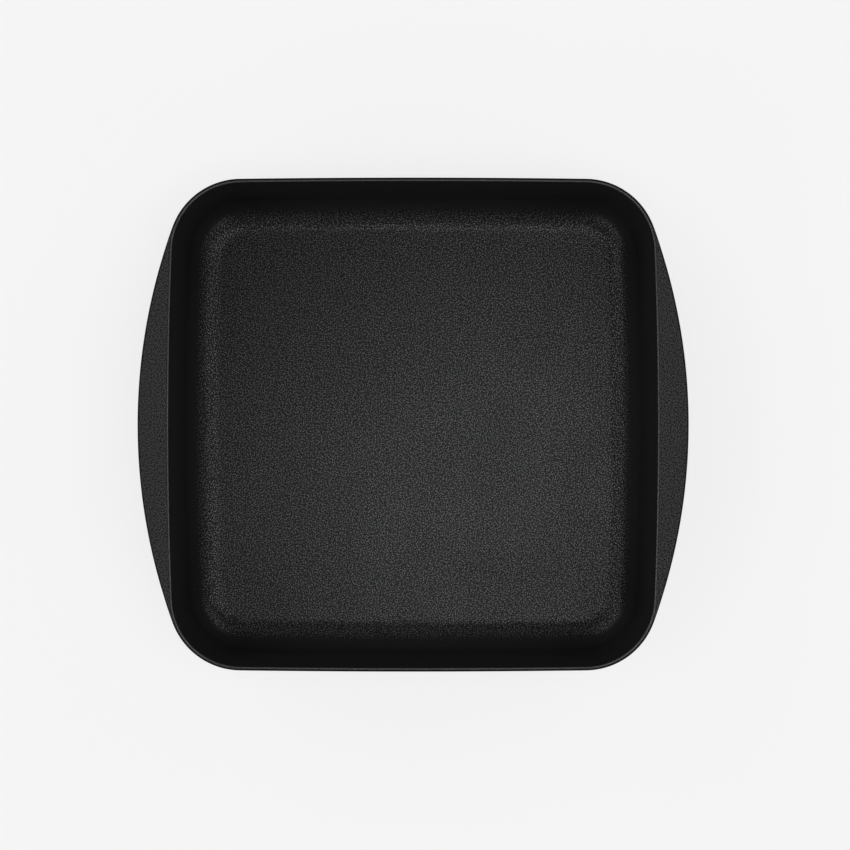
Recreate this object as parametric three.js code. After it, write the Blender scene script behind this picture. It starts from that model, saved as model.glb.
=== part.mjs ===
// Square roasting pan: a cast body with gently bowed sides, a crescent handle level with the rim at each
// end, and a non-stick lining over the cooking surface. Millimetres, +Z up, handles along X. The origin
// lies under the middle of the pan, on the surface it stands on.
import * as THREE from 'three';
import { mergeVertices } from 'three/addons/utils/BufferGeometryUtils.js';

// Mouth, between the rim's inner edges at the middle of each side
const mouthLength = 271;
const mouthWidth = 269.5;
const mouthCornerRadius = 38.1;

// How far the middle of a side stands out beyond the corner arcs
const handleSideBow = 1.9;
const plainSideBow = 0.65;

// Section of the floor, wall and rim
const cookingDepth = 58;
const floorThickness = 4;
const wallAtFoot = 2.9;
const wallDraft = THREE.MathUtils.degToRad(7);
const coveRadius = 18;
const smallestFloorCorner = 2;
const rimWidth = 2.2;
const rimEdgeRadius = 0.8;
const liningThickness = 0.25;

// Handles: reach beyond the rim at their middle, and section
const handleReach = 15.25;
const handleThickness = 4.6;
const handleDroop = 0.6;
const handleEdgeRadius = 1.6;
const handleRootRadius = 3;

// Facets along the outline and round the arcs of the section
const sideSteps = 6;
const tipSteps = 4;
const cornerSteps = 7;
const roundSteps = 6;
const rimSteps = 3;
const noseSteps = 2;

// The rounding of one edge takes up less than half of the metal it rounds
const roundingShare = 0.4;
const rimRound = Math.min(rimEdgeRadius, roundingShare * rimWidth);
const handleRound = Math.min(handleEdgeRadius, roundingShare * (handleThickness - handleDroop));

// Levels
const cookingLevel = floorThickness + liningThickness;
const rimLevel = cookingLevel + cookingDepth;
const wallTopLevel = rimLevel - rimRound;
const handleUnderside = rimLevel - handleThickness;
const handleRootLevel = handleUnderside - handleRootRadius;

// Outline of the rim: four corner arcs, with bowed sides that run smoothly into them
const halfLength = mouthLength / 2 + rimWidth;
const halfWidth = mouthWidth / 2 + rimWidth;
const cornerRadius = mouthCornerRadius + rimWidth;
const cornerX = halfLength - handleSideBow - cornerRadius;
const cornerY = halfWidth - plainSideBow - cornerRadius;

// The arc that has its apex on an axis of the pan and runs smoothly into the two corner arcs beside it
function arcBetweenCorners(apex, cornerAlong, cornerAcross) {
  const lead = apex - cornerAlong;
  const radius = (lead ** 2 + cornerAcross ** 2 - cornerRadius ** 2) / (2 * (lead - cornerRadius));
  const centre = apex - radius;
  return { radius, centre, halfAngle: Math.atan2(cornerAcross, cornerAlong - centre) };
}

const handleSide = arcBetweenCorners(halfLength, cornerX, cornerY);
const plainSide = arcBetweenCorners(halfWidth, cornerY, cornerX);
const gripEdge = arcBetweenCorners(halfLength + handleReach, cornerX, cornerY);

// Stations along an arc of the outline, each with its outward direction. The arc's end point is left to
// the arc that follows.
function stationsOnArc(x, y, radius, from, to, steps) {
  const centre = new THREE.Vector2(x, y);
  const points = new THREE.ArcCurve(x, y, radius, from, to, false).getPoints(steps).slice(0, -1);
  return points.map((point) => ({ point, outward: point.clone().sub(centre).normalize() }));
}

// One turn of the outline is two equal halves. Each starts at a handle's first tip and runs anticlockwise.
const quarterTurn = Math.PI / 2;
const tipAngle = gripEdge.halfAngle;
const sideAngle = handleSide.halfAngle;
const plainFrom = quarterTurn - plainSide.halfAngle;
const plainTo = quarterTurn + plainSide.halfAngle;
const firstHalf = [
  stationsOnArc(cornerX, -cornerY, cornerRadius, -tipAngle, -sideAngle, tipSteps),
  stationsOnArc(handleSide.centre, 0, handleSide.radius, -sideAngle, sideAngle, sideSteps),
  stationsOnArc(cornerX, cornerY, cornerRadius, sideAngle, tipAngle, tipSteps),
  stationsOnArc(cornerX, cornerY, cornerRadius, tipAngle, plainFrom, cornerSteps),
  stationsOnArc(0, plainSide.centre, plainSide.radius, plainFrom, plainTo, sideSteps),
  stationsOnArc(-cornerX, cornerY, cornerRadius, plainTo, Math.PI - tipAngle, cornerSteps),
].flat();
const secondHalf = firstHalf.map(({ point, outward }) => ({
  point: point.clone().negate(),
  outward: outward.clone().negate(),
}));
const outline = [...firstHalf, ...secondHalf];
const handleStations = firstHalf.slice(0, 2 * tipSteps + sideSteps + 1);

// A point of the cross-section: how far inside the rim's outline it lies, and its level
function sectionPoint(inset, level) {
  return new THREE.Vector2(inset, level);
}

function sectionArc(centre, radius, from, to, steps) {
  return new THREE.ArcCurve(centre.x, centre.y, radius, from, to, to < from).getPoints(steps);
}

// The centre of a rounding between a wall, sloping inwards from its top, and a level surface
function roundingCentre(wallTop, draft, radius, level) {
  const rise = level + radius - wallTop.y;
  return sectionPoint(wallTop.x + (radius - rise * Math.sin(draft)) / Math.cos(draft), level + radius);
}

// The cove is held within the corners of the mouth, so that the floor keeps a rounded corner of its own
const wallRun = (cookingDepth - rimRound) * Math.tan(wallDraft);
const roomForCove = mouthCornerRadius - smallestFloorCorner - wallRun;
const largestCove = (roomForCove * Math.cos(wallDraft)) / (1 - Math.sin(wallDraft));
const coveRound = Math.min(coveRadius, largestCove);

// Cooking surface from the rim down to the edge of the floor, and the seat of the lining behind it
const innerWallTop = sectionPoint(rimWidth, wallTopLevel);
const coveCentre = roundingCentre(innerWallTop, wallDraft, coveRound, cookingLevel);
const coveFrom = Math.PI + wallDraft;
const coveTo = Math.PI + quarterTurn;
const cookingSurface = [
  innerWallTop,
  ...sectionArc(coveCentre, coveRound, coveFrom, coveTo, roundSteps),
];
const liningSeat = [
  sectionPoint(rimWidth - liningThickness / Math.cos(wallDraft), wallTopLevel),
  ...sectionArc(coveCentre, coveRound + liningThickness, coveFrom, coveTo, roundSteps),
];

// The outer wall leans in from the rim and is thickest at its foot, which is rounded round the cove
const footRound = coveRound + wallAtFoot;
const wallFootInset = coveCentre.x - footRound * Math.cos(wallDraft);
const wallFootLevel = coveCentre.y - footRound * Math.sin(wallDraft);
const outerDraft = Math.atan2(wallFootInset, wallTopLevel - wallFootLevel);
const outerWallTop = sectionPoint(0, wallTopLevel);
const footCentre = roundingCentre(outerWallTop, outerDraft, footRound, 0);
const footLine = sectionArc(footCentre, footRound, coveTo, Math.PI + outerDraft, roundSteps);

// Section of a handle at its middle: root rounding, underside, rounded outer edge and top
const handleRoot = sectionPoint((wallTopLevel - handleRootLevel) * Math.tan(outerDraft), handleRootLevel);
const rootCentre = sectionPoint(handleRoot.x - handleRootRadius, handleRootLevel);
const lowerEdgeCentre = sectionPoint(handleRound - handleReach, handleUnderside + handleRound);
const upperEdgeCentre = sectionPoint(handleRound - handleReach, rimLevel - handleDroop - handleRound);
const handleTopEdge = sectionPoint(rimRound, rimLevel);
const gripLine = [
  ...sectionArc(rootCentre, handleRootRadius, 0, quarterTurn, rimSteps),
  ...sectionArc(lowerEdgeCentre, handleRound, coveTo, Math.PI, noseSteps),
  ...sectionArc(upperEdgeCentre, handleRound, Math.PI, quarterTurn, noseSteps),
  handleTopEdge,
];

// Line up the outer wall and over the rim's outer edge, where a handle and the body meet face to face
const outerRimCentre = sectionPoint(rimRound, wallTopLevel);
const outerRimLine = sectionArc(outerRimCentre, rimRound, Math.PI, quarterTurn, rimSteps);
const wallSteps = gripLine.length - outerRimLine.length;
const jointLine = [];
for (let step = 0; step < wallSteps; step += 1) {
  jointLine.push(handleRoot.clone().lerp(outerWallTop, step / wallSteps));
}
jointLine.push(...outerRimLine);

const innerRimCentre = sectionPoint(rimWidth - rimRound, wallTopLevel);
const innerRimLine = sectionArc(innerRimCentre, rimRound, quarterTurn, 0, rimSteps);

// Carries a point of the cross-section to a station of the outline
function placeAt(station, { x: inset, y: level }) {
  const { x, y } = station.point.clone().addScaledVector(station.outward, -inset);
  return new THREE.Vector3(x, y, level);
}

// A closed skin over loops of equally many points. A capped end is closed by a fan from its middle.
function skin(loops, { capped = false, insideOut = false } = {}) {
  const count = loops[0].length;
  const points = loops.flat();
  const lastLoop = points.length - count;
  const triangles = [];
  for (let first = 0; first < lastLoop; first += count) {
    for (let step = 0; step < count; step += 1) {
      const here = first + step;
      const next = first + ((step + 1) % count);
      triangles.push([here, next, next + count], [here, next + count, here + count]);
    }
  }
  if (capped) {
    const lowMiddle = points.push(new THREE.Vector3(0, 0, loops[0][0].z)) - 1;
    const highMiddle = points.push(new THREE.Vector3(0, 0, loops.at(-1)[0].z)) - 1;
    for (let step = 0; step < count; step += 1) {
      const next = (step + 1) % count;
      triangles.push([lowMiddle, next, step], [highMiddle, lastLoop + step, lastLoop + next]);
    }
  }
  const geometry = new THREE.BufferGeometry().setFromPoints(points);
  geometry.setIndex(triangles.flatMap(([a, b, c]) => (insideOut ? [a, c, b] : [a, b, c])));
  const merged = mergeVertices(geometry);
  merged.computeVertexNormals();
  return merged;
}

// Loops that carry each point of a section once round the whole outline
function loopsRound(section) {
  return section.map((point) => outline.map((station) => placeAt(station, point)));
}

// Distance from the rim's outline to the outer edge of the right handle, square to the outline
function gripWidth({ point, outward }) {
  const fromCentre = point.clone().sub(new THREE.Vector2(gripEdge.centre, 0));
  const along = fromCentre.dot(outward);
  return Math.sqrt(along ** 2 + gripEdge.radius ** 2 - fromCentre.lengthSq()) - along;
}

// A handle narrows from its full section at the middle to the bare wall at its tips
function handleLoop(station) {
  const fullness = gripWidth(station) / handleReach;
  const grip = gripLine.map((point, index) => jointLine[index].clone().lerp(point, fullness));
  const section = [...jointLine, ...grip.slice(1, -1).reverse()];
  return section.map((point) => placeAt(station, point));
}

function blackCasting() {
  return new THREE.MeshStandardMaterial({ color: 0x262627, roughness: 0.6, metalness: 0.3 });
}

function nonstickCoat() {
  return new THREE.MeshStandardMaterial({ color: 0x2f2f30, roughness: 0.55, metalness: 0 });
}

function namedMesh(name, geometry, material) {
  const mesh = new THREE.Mesh(geometry, material);
  mesh.name = name;
  return mesh;
}

const bodySection = [...footLine, ...jointLine, ...innerRimLine, ...liningSeat];
const panBody = namedMesh('pan_body', skin(loopsRound(bodySection), { capped: true }), blackCasting());

const liningSection = [...cookingSurface.toReversed(), ...liningSeat];
const liningSkin = skin(loopsRound(liningSection), { capped: true, insideOut: true });
const nonstickLining = namedMesh('nonstick_lining', liningSkin, nonstickCoat());

const rightHandle = namedMesh('right_handle', skin(handleStations.map(handleLoop)), blackCasting());
const leftHandle = namedMesh('left_handle', rightHandle.geometry, blackCasting());
leftHandle.rotation.z = Math.PI;

const pan = new THREE.Group();
pan.name = 'square_roasting_pan';
pan.add(panBody, nonstickLining, leftHandle, rightHandle);

export default pan;
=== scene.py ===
import math

import bpy
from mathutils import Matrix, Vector


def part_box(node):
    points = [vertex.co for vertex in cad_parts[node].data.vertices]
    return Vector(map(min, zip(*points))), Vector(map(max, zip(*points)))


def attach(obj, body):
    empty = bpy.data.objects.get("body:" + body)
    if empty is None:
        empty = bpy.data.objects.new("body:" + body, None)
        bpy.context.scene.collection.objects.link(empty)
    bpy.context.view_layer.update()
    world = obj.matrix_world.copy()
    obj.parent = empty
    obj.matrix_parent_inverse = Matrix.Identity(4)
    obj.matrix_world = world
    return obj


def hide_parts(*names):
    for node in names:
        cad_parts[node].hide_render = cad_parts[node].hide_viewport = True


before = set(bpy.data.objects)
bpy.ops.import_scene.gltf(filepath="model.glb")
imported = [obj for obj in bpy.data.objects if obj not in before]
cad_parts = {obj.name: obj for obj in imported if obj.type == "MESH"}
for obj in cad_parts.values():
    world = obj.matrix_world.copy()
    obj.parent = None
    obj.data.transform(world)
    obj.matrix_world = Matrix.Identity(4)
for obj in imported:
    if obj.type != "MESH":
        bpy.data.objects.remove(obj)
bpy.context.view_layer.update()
print("frame loaded:", sorted(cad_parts))

# corners of the CAD pieces, in metres
bodyLow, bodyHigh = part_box("pan_body")
liningLow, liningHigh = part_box("nonstick_lining")
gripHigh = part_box("right_handle")[1]

photoView = {
    "photoSize": 850,            # pixels along each side
    "panMiddle": (413.1, 424.6),  # pixel where the middle of the rim shows
    "pixelSize": 0.000554,       # metres of rim for one pixel
    "heightOverRim": 1.2,
    "sensor": 36.0,
}


def placeCamera():
    view = photoView
    halfFrame = view["photoSize"] / 2
    data = bpy.data.cameras.new("overheadCamera")
    data.sensor_width = view["sensor"]
    frameWidth = view["photoSize"] * view["pixelSize"]
    data.lens = view["sensor"] * view["heightOverRim"] / frameWidth
    camera = bpy.data.objects.new("overheadCamera", data)
    camera.location = (
        (halfFrame - view["panMiddle"][0]) * view["pixelSize"],
        (view["panMiddle"][1] - halfFrame) * view["pixelSize"],
        bodyHigh.z + view["heightOverRim"],
    )
    bpy.context.scene.collection.objects.link(camera)
    bpy.context.scene.camera = camera


placeCamera()
print("camera placed")


# Shared node helpers

def addNode(tree, kind, inputs=None, **settings):
    node = tree.nodes.new(kind)
    for name, value in settings.items():
        setattr(node, name, value)
    for name, value in (inputs or {}).items():
        if isinstance(value, bpy.types.NodeSocket):
            tree.links.new(value, node.inputs[name])
        else:
            node.inputs[name].default_value = value
    return node


def newMaterial(name):
    material = bpy.data.materials.new(name)
    material.use_nodes = True
    tree = material.node_tree
    tree.nodes.clear()
    return material, tree


# Outline of the rim: four corner arcs, with bowed sides that run smoothly into them

rimOutline = {
    "cornerRadius": 0.0403,    # outer edge of the rim
    "handleSideBow": 0.0019,   # how far the middle of a side stands out beyond the corner arcs
    "plainSideBow": 0.00065,
    "sideSteps": 48,
    "cornerSteps": 28,
}

halfLength = bodyHigh.x
halfWidth = bodyHigh.y
cornerRadius = rimOutline["cornerRadius"]
cornerX = halfLength - rimOutline["handleSideBow"] - cornerRadius
cornerY = halfWidth - rimOutline["plainSideBow"] - cornerRadius


def arcBetweenCorners(apex, along, across):  # radius, centre and half angle of a bowed side
    lead = apex - along
    radius = (lead ** 2 + across ** 2 - cornerRadius ** 2) / (2 * (lead - cornerRadius))
    centre = apex - radius
    return radius, centre, math.atan2(across, along - centre)


def arcStations(x, y, radius, start, end, steps):  # (point, outward direction), without the last
    stations = []
    for step in range(steps):
        angle = start + (end - start) * step / steps
        outward = Vector((math.cos(angle), math.sin(angle)))
        stations.append((Vector((x, y)) + radius * outward, outward))
    return stations


handleSide = arcBetweenCorners(halfLength, cornerX, cornerY)
plainSide = arcBetweenCorners(halfWidth, cornerY, cornerX)
gripEdge = arcBetweenCorners(gripHigh.x, cornerX, cornerY)
quarterTurn = math.pi / 2


def outlineStations():  # anticlockwise from the lower end of the right-hand side
    sides, corners = rimOutline["sideSteps"], rimOutline["cornerSteps"]
    sideRadius, sideCentre, sideAngle = handleSide
    plainRadius, plainCentre, plainAngle = plainSide
    plainStart, plainEnd = quarterTurn - plainAngle, quarterTurn + plainAngle
    upper = [
        *arcStations(sideCentre, 0, sideRadius, -sideAngle, sideAngle, sides),
        *arcStations(cornerX, cornerY, cornerRadius, sideAngle, plainStart, corners),
        *arcStations(0, plainCentre, plainRadius, plainStart, plainEnd, sides),
        *arcStations(-cornerX, cornerY, cornerRadius, plainEnd, math.pi - sideAngle, corners),
    ]
    return upper + [(-point, -outward) for point, outward in upper]


# Cross-section of the pan, as (distance inside the rim's outline, level)

panSection = {
    "cookingDepth": 0.058,
    "wallDraft": math.radians(7),
    "coveRadius": 0.018,
    "wallAtFoot": 0.0029,
    "rimWidth": 0.0022,
    "rimRound": 0.0008,
    "wallSteps": 10,
    "coveSteps": 20,
    "rimSteps": 8,
}

rimLevel = bodyHigh.z
wallTopLevel = liningHigh.z
cookingLevel = rimLevel - panSection["cookingDepth"]
liningThickness = cookingLevel - liningLow.z
rimRound = panSection["rimRound"]
wallDraft = panSection["wallDraft"]


def sectionArc(centre, radius, start, end, steps):
    angles = [start + (end - start) * step / steps for step in range(steps + 1)]
    return [(centre[0] + radius * math.cos(a), centre[1] + radius * math.sin(a)) for a in angles]


def straightRun(start, end, steps):  # points between the two, without them
    shares = [step / steps for step in range(1, steps)]
    return [tuple(a + (b - a) * share for a, b in zip(start, end)) for share in shares]


def roundingCentre(wallTop, draft, radius, level):  # between a wall and a level surface
    rise = level + radius - wallTop[1]
    return wallTop[0] + (radius - rise * math.sin(draft)) / math.cos(draft), level + radius


coveRadius = panSection["coveRadius"]
innerWallTop = (panSection["rimWidth"], wallTopLevel)
seatTop = (panSection["rimWidth"] - liningThickness / math.cos(wallDraft), wallTopLevel)
coveCentre = roundingCentre(innerWallTop, wallDraft, coveRadius, cookingLevel)
footRound = coveRadius + panSection["wallAtFoot"]
wallFoot = (
    coveCentre[0] - footRound * math.cos(wallDraft),
    coveCentre[1] - footRound * math.sin(wallDraft),
)
outerDraft = math.atan2(wallFoot[0], wallTopLevel - wallFoot[1])


def upTheInside(radius, top):  # floor edge, round the cove and up the wall
    steps = panSection["coveSteps"]
    cove = sectionArc(coveCentre, radius, math.pi + quarterTurn, math.pi + wallDraft, steps)
    return [*cove, *straightRun(cove[-1], top, panSection["wallSteps"]), top]


def bodySection():
    steps = panSection["rimSteps"]
    innerCentre = (panSection["rimWidth"] - rimRound, wallTopLevel)
    innerRim = sectionArc(innerCentre, rimRound, 0, quarterTurn, steps)
    outerRim = sectionArc((rimRound, wallTopLevel), rimRound, quarterTurn, math.pi, steps)
    footCentre = roundingCentre((0, wallTopLevel), outerDraft, footRound, bodyLow.z)
    foot = sectionArc(
        footCentre, footRound, math.pi + outerDraft, math.pi + quarterTurn, panSection["coveSteps"]
    )
    outerWall = straightRun(outerRim[-1], foot[0], panSection["wallSteps"])
    inside = upTheInside(coveRadius + liningThickness, seatTop)
    return [*inside, *innerRim, *outerRim, *outerWall, *foot]


def liningSection():
    seat = upTheInside(coveRadius + liningThickness, seatTop)
    return [*upTheInside(coveRadius, innerWallTop), *reversed(seat)]


def polyCurve(name, points, closed):
    data = bpy.data.curves.new(name, "CURVE")
    data.dimensions = "3D"
    data.twist_mode = "Z_UP"
    spline = data.splines.new("POLY")
    spline.points.add(len(points) - 1)
    for place, point in zip(spline.points, points):
        place.co = (*point, 0, 1)
    spline.use_cyclic_u = closed
    curve = bpy.data.objects.new(name, data)
    bpy.context.scene.collection.objects.link(curve)
    return curve


# Sweeps a section once round the rim, then closes the floor and the underside with level rings

def sweepTree():
    tree = bpy.data.node_groups.new("sweepRoundTheRim", "GeometryNodeTree")
    sockets = tree.interface
    sockets.new_socket("Outline", in_out="INPUT", socket_type="NodeSocketGeometry")
    inputs = {
        "Section": sockets.new_socket("Section", in_out="INPUT", socket_type="NodeSocketObject"),
        "Middle ring": sockets.new_socket("Middle ring", in_out="INPUT", socket_type="NodeSocketFloat"),
        "Weld": sockets.new_socket("Weld", in_out="INPUT", socket_type="NodeSocketFloat"),
        "Finish": sockets.new_socket("Finish", in_out="INPUT", socket_type="NodeSocketMaterial"),
    }
    sockets.new_socket("Piece", in_out="OUTPUT", socket_type="NodeSocketGeometry")
    start = addNode(tree, "NodeGroupInput").outputs
    section = addNode(tree, "GeometryNodeObjectInfo", {"Object": start["Section"]})
    swept = addNode(tree, "GeometryNodeCurveToMesh", {
        "Curve": start["Outline"],
        "Profile Curve": section.outputs["Geometry"],
    })
    neighbours = addNode(tree, "GeometryNodeInputMeshEdgeNeighbors")
    openEdge = addNode(tree, "FunctionNodeCompare", data_type="INT", operation="EQUAL")
    tree.links.new(neighbours.outputs["Face Count"], openEdge.inputs[2])
    openEdge.inputs[3].default_value = 1
    place = addNode(tree, "GeometryNodeInputPosition").outputs["Position"]
    middle = addNode(tree, "ShaderNodeCombineXYZ", {
        "X": start["Middle ring"],
        "Y": start["Middle ring"],
        "Z": 1,
    })
    mesh, edge = swept.outputs["Mesh"], openEdge.outputs["Result"]
    for share in (middle.outputs["Vector"], (0, 0, 1)):
        ring = addNode(tree, "GeometryNodeExtrudeMesh", {
            "Mesh": mesh,
            "Selection": edge,
            "Offset Scale": 0,
        }, mode="EDGES")
        drawnIn = addNode(tree, "ShaderNodeVectorMath", {0: place, 1: share}, operation="MULTIPLY")
        moved = addNode(tree, "GeometryNodeSetPosition", {
            "Geometry": ring.outputs["Mesh"],
            "Selection": ring.outputs["Top"],
            "Position": drawnIn.outputs["Vector"],
        })
        mesh, edge = moved.outputs["Geometry"], ring.outputs["Top"]
    welded = addNode(tree, "GeometryNodeMergeByDistance", {"Geometry": mesh, "Distance": start["Weld"]})
    smooth = addNode(tree, "GeometryNodeSetShadeSmooth", {"Geometry": welded.outputs["Geometry"]})
    realized = addNode(tree, "GeometryNodeRealizeInstances", {"Geometry": smooth.outputs["Geometry"]})
    finished = addNode(tree, "GeometryNodeSetMaterial", {
        "Geometry": realized.outputs["Geometry"],
        "Material": start["Finish"],
    })
    addNode(tree, "NodeGroupOutput", {"Piece": finished.outputs["Geometry"]})
    return tree, inputs


sweptPieces = {
    "middleRing": 0.5,    # share of the floor's width at which it has a ring of its own
    "weld": 0.00001,
    "sharpFrom": math.radians(40),
}
sweep, sweepInputs = sweepTree()


def sweptPiece(name, section, material):
    outline = polyCurve(name + "Outline", [point for point, outward in outlineStations()], True)
    profile = polyCurve(name + "Section", [(-inset, -level) for inset, level in section], False)
    modifier = outline.modifiers.new("sweep", "NODES")
    modifier.node_group = sweep
    modifier[sweepInputs["Section"].identifier] = profile
    modifier[sweepInputs["Middle ring"].identifier] = sweptPieces["middleRing"]
    modifier[sweepInputs["Weld"].identifier] = sweptPieces["weld"]
    modifier[sweepInputs["Finish"].identifier] = material
    evaluated = outline.evaluated_get(bpy.context.evaluated_depsgraph_get())
    mesh = bpy.data.meshes.new_from_object(evaluated)
    mesh.name = name
    mesh.set_sharp_from_angle(angle=sweptPieces["sharpFrom"])
    for helper in (outline, profile):
        bpy.data.objects.remove(helper)
    piece = bpy.data.objects.new(name, mesh)
    bpy.context.scene.collection.objects.link(piece)
    print(name, "has", len(mesh.polygons), "faces")
    return piece


# Handles: crescents level with the rim, widest at their middle, run out to nothing at the tips

crescent = {
    "thickness": 0.0046,
    "tipThickness": 0.0022,
    "droop": 0.0006,       # fall of the top from rim to outer edge at full width
    "edgeRound": 0.0016,
    "rootRound": 0.003,
    "sunk": 0.001,         # depth of the root inside the wall of the casting
    "fullFrom": 0.003,     # width from which the edge has its full rounding
    "thickFrom": 0.006,    # from which it has its full thickness
    "rootFrom": 0.009,     # and from which the root has its full rounding
    "tipSteps": 24,
    "sideSteps": 64,
    "topSteps": 10,
    "edgeSteps": 8,
    "faceSteps": 3,
    "underSteps": 6,
}


def handleStations():  # from tip to tip along the right-hand side, with the width at each
    sideRadius, sideCentre, sideAngle = handleSide
    gripRadius, gripCentre, tipAngle = gripEdge
    tips, sides = crescent["tipSteps"], crescent["sideSteps"]
    half = arcStations(sideCentre, 0, sideRadius, 0, sideAngle, sides // 2)
    half += arcStations(cornerX, cornerY, cornerRadius, sideAngle, tipAngle, tips)
    half += arcStations(cornerX, cornerY, cornerRadius, tipAngle, tipAngle + 1, 1)
    flip = Vector((1, -1))
    other = [(point * flip, outward * flip) for point, outward in reversed(half[1:])]
    stations = []
    for point, outward in other + half:
        fromCentre = point - Vector((gripCentre, 0))
        along = fromCentre.dot(outward)
        reach = math.sqrt(along ** 2 + gripRadius ** 2 - fromCentre.length_squared) - along
        stations.append((point, outward, max(reach, 0)))
    return stations


def wallInset(level):  # how far the outer wall lies inside the rim's outline
    return max(wallTopLevel - level, 0) * math.tan(outerDraft)


def handleSection(width):  # (distance outside the rim's outline, level), from the rim outwards and back
    size = crescent
    full = min(width / size["fullFrom"], 1)
    thin, thick = size["tipThickness"], size["thickness"]
    underside = rimLevel - thin - (thick - thin) * min(width / size["thickFrom"], 1)
    upperRound = rimRound + (size["edgeRound"] - rimRound) * full
    lowerRound = size["edgeRound"] * full
    rootRound = size["rootRound"] * min(width / size["rootFrom"], 1)
    droop = size["droop"] * width / (gripHigh.x - halfLength)
    topEnd = width - upperRound
    points = []
    for step in range(size["topSteps"]):
        share = step / size["topSteps"]
        points.append((-rimRound + (topEnd + rimRound) * share, rimLevel - droop * share ** 2))
    upperCentre = (topEnd, rimLevel - droop - upperRound)
    upper = sectionArc(upperCentre, upperRound, quarterTurn, 0, size["edgeSteps"])
    lowerCentre = (width - lowerRound, underside + lowerRound)
    lower = sectionArc(lowerCentre, lowerRound, 0, -quarterTurn, size["edgeSteps"])
    rootStart = rootRound - wallInset(underside - rootRound)
    under = straightRun(lower[-1], (rootStart, underside), size["underSteps"])
    root = sectionArc(
        (rootStart, underside - rootRound), rootRound, quarterTurn, math.pi, size["edgeSteps"]
    )
    face = straightRun(upper[-1], lower[0], size["faceSteps"])
    for out, level in [*upper, *face, *lower]:
        points.append((out - wallInset(level) * (1 - full), level))
    points += [*under, *root]
    deep = size["sunk"]  # the root is closed inside the wall
    points.append((-wallInset(root[-1][1]) - deep, root[-1][1]))
    points.append((-rimRound - deep / 4, rimLevel - deep))
    return points


def crescentHandle(name, turn, material):  # turn is 1 for the right-hand one and -1 for the left
    vertices, faces = [], []
    stations = handleStations()
    for point, outward, width in stations:
        for out, level in handleSection(width):
            x, y = turn * (point + out * outward)
            vertices.append((x, y, level))
    count = len(vertices) // len(stations)
    for station in range(len(stations) - 1):
        first = station * count
        for step in range(count):
            nextStep = (step + 1) % count
            faces.append((first + step, first + nextStep, first + count + nextStep, first + count + step))
    faces.append(tuple(reversed(range(count))))
    faces.append(tuple(range(len(vertices) - count, len(vertices))))
    mesh = bpy.data.meshes.new(name)
    mesh.from_pydata(vertices, [], faces)
    mesh.shade_smooth()
    mesh.set_sharp_from_angle(angle=sweptPieces["sharpFrom"])
    mesh.materials.append(material)
    piece = bpy.data.objects.new(name, mesh)
    bpy.context.scene.collection.objects.link(piece)
    print(name, "has", len(mesh.polygons), "faces")
    return piece


# Finishes

def ownSpace(tree):
    return addNode(tree, "ShaderNodeTexCoord").outputs["Object"]


grainPattern = {
    "fold": 0.55,                # share of the height laid flat, which keeps the grain even round the cove
    "turn": 0.6,                 # radians, so that no row of grains follows a side
    "patches": 30.0,             # roughness patches to a metre
    "patchDetail": 3.0,
    "patchRange": (0.35, 0.65),  # part of the noise that makes them
}


def foldedFlat(tree, level):  # the walls laid down round a flat at this level, as a box is unfolded
    place = ownSpace(tree)
    up = addNode(tree, "ShaderNodeSeparateXYZ", {"Vector": place}).outputs["Z"]
    fold = grainPattern["fold"]
    rise = addNode(tree, "ShaderNodeMath", {0: up, 1: fold, 2: -fold * level}, operation="MULTIPLY_ADD")
    side = addNode(tree, "ShaderNodeVectorMath", {0: place}, operation="SIGN").outputs["Vector"]
    flat = addNode(tree, "ShaderNodeVectorMath", {
        0: side,
        1: rise.outputs["Value"],
        2: place,
    }, operation="MULTIPLY_ADD")
    return flat.outputs["Vector"]


def evenGrain(tree, level, scale):
    turned = addNode(tree, "ShaderNodeMapping", {
        "Vector": foldedFlat(tree, level),
        "Rotation": (0, 0, grainPattern["turn"]),
    })
    grain = addNode(tree, "ShaderNodeTexNoise", {
        "Vector": turned.outputs["Vector"],
        "Scale": scale,
        "Detail": 0.0,
    }, noise_dimensions="2D")
    return grain.outputs["Fac"]


def spread(tree, value, start, end, low, high):  # carries the range start to end over to low to high
    ranged = addNode(tree, "ShaderNodeMapRange", {
        "Value": value,
        "From Min": start,
        "From Max": end,
        "To Min": low,
        "To Max": high,
    })
    return ranged.outputs["Result"]


def blotches(tree, low, high):  # slow change of roughness from place to place
    patches = addNode(tree, "ShaderNodeTexNoise", {
        "Vector": ownSpace(tree),
        "Scale": grainPattern["patches"],
        "Detail": grainPattern["patchDetail"],
    })
    return spread(tree, patches.outputs["Fac"], *grainPattern["patchRange"], low, high)


blackLacquer = {                 # what rim, walls and handles have in common
    "wallColour": 0.010,
    "wallGloss": 0.50,
    "wallRough": (0.40, 0.48),
    "edgeShadeColour": 0.004,         # painted shade: darker colour on the turned edges under the rim
    "edgeShadeGloss": 0.06,
    "edgeBand": (0.0030, 0.0020),  # depth under the rim at which the painted-shade edge sets in and is full
    "grain": 1500,               # grains to a metre
    "grainRange": (0.25, 0.75),  # part of the noise between darkest and palest
    "grainHeight": 0.00006,
    "ior": 1.42,
}
bodyFinish = {
    **blackLacquer,
    "colour": (0.020, 0.046),    # darkest and palest grain of the rim top, paler than the walls as a painted highlight
    "gloss": (0.30, 0.72),
    "rough": (0.36, 0.44),
    "topFrom": (0.975, 1.04),    # upward part of the surface's direction, from edge to the top painted paler as a highlight
    "lean": 0.45,                # how much sooner the outer edge is dark than the inner one, as painted shade on the outer edge
}
handleFinish = {
    **blackLacquer,
    # grain of the handle tops, paler than the sides as a painted highlight
    "colour": (0.0070, 0.0375),
    "gloss": (0.01, 0.325),
    "rough": (0.50, 0.60),
    "topFrom": (0.86, 0.95),
    "lean": 0,
}
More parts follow.
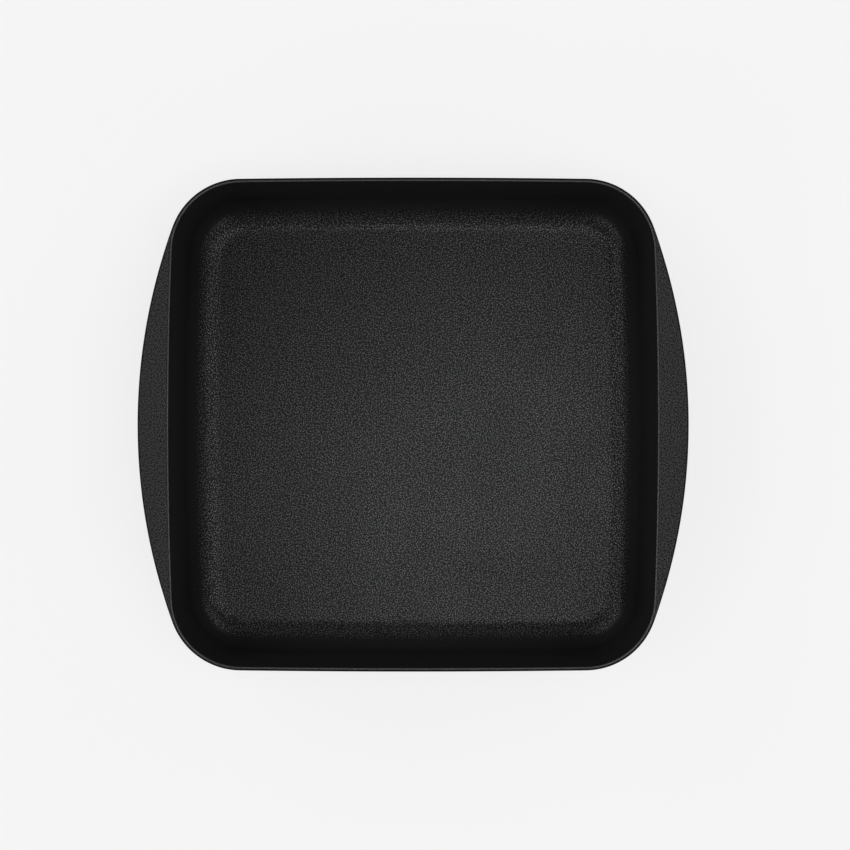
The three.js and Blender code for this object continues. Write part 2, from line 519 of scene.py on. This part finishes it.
liningFinish = {
    "colour": (0.0081, 0.0138),
    "gloss": (0.01, 0.76),
    "coveGloss": 1.0,
    "wallColour": 0.0105,
    "wallGloss": 0.065,
    "coarseFrom": (0.63, 0.77),  # upward part of the surface's direction where the coarse grain sets in
    "coveFrom": (0.985, 0.9995),  # and where the sharper flecks of the cove give way to the floor's
    "grain": 1450,
    "grainRange": (0.2, 0.8),
    "grainHeight": 0.00005,
    "rareness": (4.9, 3.0),      # how few of the grains are bright flecks, on cove and floor
    "rough": (0.34, 0.38),
    "ior": 1.6,
}


def upwardPart(tree, lean=0):  # 1 on a level top, 0 on an upright wall, less the more it leans outwards
    direction = addNode(tree, "ShaderNodeTexCoord").outputs["Normal"]
    upward = addNode(tree, "ShaderNodeSeparateXYZ", {"Vector": direction}).outputs["Z"]
    away = addNode(tree, "ShaderNodeVectorMath", {0: ownSpace(tree)}, operation="SIGN").outputs["Vector"]
    share = addNode(tree, "ShaderNodeVectorMath", {0: direction, 1: away}, operation="DOT_PRODUCT")
    outward = addNode(tree, "ShaderNodeMath", {0: share.outputs["Value"], 1: upward}, operation="SUBTRACT")
    leaning = addNode(tree, "ShaderNodeMath", {
        0: outward.outputs["Value"],
        1: -lean,
        2: upward,
    }, operation="MULTIPLY_ADD")
    return leaning.outputs["Value"]


def lacquer(name, size):  # shot-blasted black, with level tops painted paler as a painted highlight and the band under the rim painted darker as painted shade
    material, tree = newMaterial(name)
    upward = upwardPart(tree, size["lean"])
    height = addNode(tree, "ShaderNodeSeparateXYZ", {"Vector": ownSpace(tree)}).outputs["Z"]
    grain = evenGrain(tree, rimLevel, size["grain"])
    # band under the rim where the edge colour and gloss paint shade
    band = [rimLevel - depth for depth in size["edgeBand"]]

    # the pale top grain is a painted highlight, the edge colour under the rim is painted shade
    def zoned(top, wall, edge):
        onTop = spread(tree, grain, *size["grainRange"], *size[top])
        onSide = spread(tree, height, *band, size[wall], size[edge])
        return spread(tree, upward, *size["topFrom"], onSide, onTop)

    onTop, onWall = blotches(tree, *size["rough"]), blotches(tree, *size["wallRough"])
    rough = spread(tree, upward, *size["topFrom"], onWall, onTop)
    bump = addNode(tree, "ShaderNodeBump", {"Height": grain, "Distance": size["grainHeight"]})
    coat = addNode(tree, "ShaderNodeBsdfPrincipled", {
        "Base Color": zoned("colour", "wallColour", "edgeShadeColour"),
        "Roughness": rough,
        "Specular IOR Level": zoned("gloss", "wallGloss", "edgeShadeGloss"),
        "IOR": size["ior"],
        "Normal": bump.outputs["Normal"],
    })
    addNode(tree, "ShaderNodeOutputMaterial", {"Surface": coat.outputs["BSDF"]})
    return material


def sprayedCoat(name, size):  # coarse with bright flecks on the floor and cove, finer up the walls
    material, tree = newMaterial(name)
    grain = evenGrain(tree, cookingLevel, size["grain"])
    share = spread(tree, grain, *size["grainRange"], 0, 1)
    upward = upwardPart(tree)
    rareness = spread(tree, upward, *size["coveFrom"], *size["rareness"])
    fleck = addNode(tree, "ShaderNodeMath", {0: share, 1: rareness}, operation="POWER").outputs["Value"]
    coarse = spread(tree, upward, *size["coarseFrom"], 0, 1)
    colour = spread(tree, fleck, 0, 1, *size["colour"])
    dull, bright = size["gloss"]
    brightest = spread(tree, upward, *size["coveFrom"], size["coveGloss"], bright)
    gloss = spread(tree, fleck, 0, 1, dull, brightest)
    bump = addNode(tree, "ShaderNodeBump", {
        "Height": grain,
        "Distance": size["grainHeight"],
        "Strength": coarse,
    })
    coat = addNode(tree, "ShaderNodeBsdfPrincipled", {
        "Base Color": spread(tree, coarse, 0, 1, size["wallColour"], colour),
        "Roughness": blotches(tree, *size["rough"]),
        "Specular IOR Level": spread(tree, coarse, 0, 1, size["wallGloss"], gloss),
        "IOR": size["ior"],
        "Normal": bump.outputs["Normal"],
    })
    addNode(tree, "ShaderNodeOutputMaterial", {"Surface": coat.outputs["BSDF"]})
    return material


castBlack = lacquer("castBlack", bodyFinish)
handleBlack = lacquer("handleBlack", handleFinish)
nonstickBlack = sprayedCoat("nonstickBlack", liningFinish)

panBody = sweptPiece("panBody", bodySection(), castBlack)
nonstickLining = sweptPiece("nonstickLining", liningSection(), nonstickBlack)
rightHandle = crescentHandle("rightHandle", 1, handleBlack)
leftHandle = crescentHandle("leftHandle", -1, handleBlack)

for piece, node, slotName in (
    (panBody, "pan_body", "black_casting"),
    (nonstickLining, "nonstick_lining", "nonstick_coat"),
    (rightHandle, "right_handle", "black_handle"),
    (leftHandle, "left_handle", "black_handle"),
):
    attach(piece, "root")
    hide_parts(node)

# Studio

studio = {
    "floorSize": 24.0,
    "backdropHeight": 2.4,
    "floorDrop": 0.0002,    # keeps the floor clear of the underside
    "floorColour": (0.937, 0.937, 0.937, 1),
    "plainShare": 0.82,     # share of the floor's own colour that shows whatever the light
    "worldStrength": 0.02,
    "lamps": {              # where each softbox stands, its width and length, and its power
        "overheadSoftbox": ((0.08, -0.07, 0.95), (0.32, 0.18), 1.34),
        "wideOverheadSoftbox": ((0.02, -0.03, 0.95), (0.72, 0.26), 0.33),
        "highRightSoftbox": ((1.35, 0, 1.92), (0.9, 0.9), 6.6),
        "highFrontRightSoftbox": ((0.81, -0.81, 2.05), (0.9, 0.9), 3.4),
        "highLeftSoftbox": ((-1.15, 0, 2.05), (0.9, 0.9), 5.2),
        "leftSoftbox": ((-1.63, 0, 1.69), (1.6, 0.9), 5.6),
        "highBackLeftSoftbox": ((-1.15, 1.15, 1.69), (1.6, 0.9), 2.2),
        "rightSoftbox": ((2.08, 0, 1.03), (1.8, 0.9), 2.4),
        "backRightSoftbox": ((1.47, 1.47, 1.03), (1.8, 0.9), 10.0),
        "backSoftbox": ((0, 1.63, 1.69), (1.6, 0.9), 2.8),
        "backLeftSoftbox": ((-1.47, 1.47, 1.03), (1.8, 0.9), 12.8),
        "frontLeftSoftbox": ((-1.47, -1.47, 1.03), (1.8, 0.9), 11.5),
        "frontSoftbox": ((0, -1.63, 1.69), (1.6, 0.9), 2.8),
        "frontRightSoftbox": ((1.47, -1.47, 1.03), (1.8, 0.9), 8.2),
    },
}


def paleFloor():
    material, tree = newMaterial("paleFloor")
    light = addNode(tree, "ShaderNodeLightPath").outputs
    seen = addNode(tree, "ShaderNodeMath", {
        0: light["Is Camera Ray"],
        1: light["Is Glossy Ray"],
    }, operation="MAXIMUM")
    clear = addNode(tree, "ShaderNodeMath", {
        0: seen.outputs["Value"],
        1: light["Is Transmission Ray"],
    }, operation="MAXIMUM")
    share = addNode(tree, "ShaderNodeMath", {
        0: clear.outputs["Value"],
        1: studio["plainShare"],
    }, operation="MULTIPLY")
    matt = addNode(tree, "ShaderNodeBsdfDiffuse", {"Color": studio["floorColour"]})
    plain = addNode(tree, "ShaderNodeEmission", {"Color": studio["floorColour"], "Strength": 1.0})
    mixed = addNode(tree, "ShaderNodeMixShader", {
        0: share.outputs["Value"],
        1: matt.outputs["BSDF"],
        2: plain.outputs["Emission"],
    })
    addNode(tree, "ShaderNodeOutputMaterial", {"Surface": mixed.outputs["Shader"]})
    half = studio["floorSize"] / 2
    low = bodyLow.z - studio["floorDrop"]
    corners = [(-half, -half), (half, -half), (half, half), (-half, half)]
    vertices = [(x, y, z) for z in (low, low + studio["backdropHeight"]) for x, y in corners]
    backdrop = [(a, a + 4, (a + 1) % 4 + 4, (a + 1) % 4) for a in range(4)]
    mesh = bpy.data.meshes.new("floor")
    mesh.from_pydata(vertices, [], [(0, 1, 2, 3), *backdrop])
    mesh.materials.append(material)
    floor = bpy.data.objects.new("floor", mesh)
    bpy.context.scene.collection.objects.link(floor)


def lightStudio():
    world = bpy.data.worlds.new("paleRoom")
    world.use_nodes = True
    background = world.node_tree.nodes["Background"]
    background.inputs["Color"].default_value = (1, 1, 1, 1)
    background.inputs["Strength"].default_value = studio["worldStrength"]
    bpy.context.scene.world = world
    for name, (place, size, power) in studio["lamps"].items():
        data = bpy.data.lights.new(name, "AREA")
        data.shape = "RECTANGLE"
        data.size, data.size_y = size
        data.energy = power
        lamp = bpy.data.objects.new(name, data)
        lamp.location = place
        lamp.rotation_mode = "QUATERNION"
        toPan = Vector((0, 0, rimLevel)) - Vector(place)
        lamp.rotation_quaternion = toPan.to_track_quat("-Z", "Y")
        lamp.visible_camera = False
        bpy.context.scene.collection.objects.link(lamp)


paleFloor()
lightStudio()
bpy.context.scene.view_settings.view_transform = "Standard"
print("studio lit")
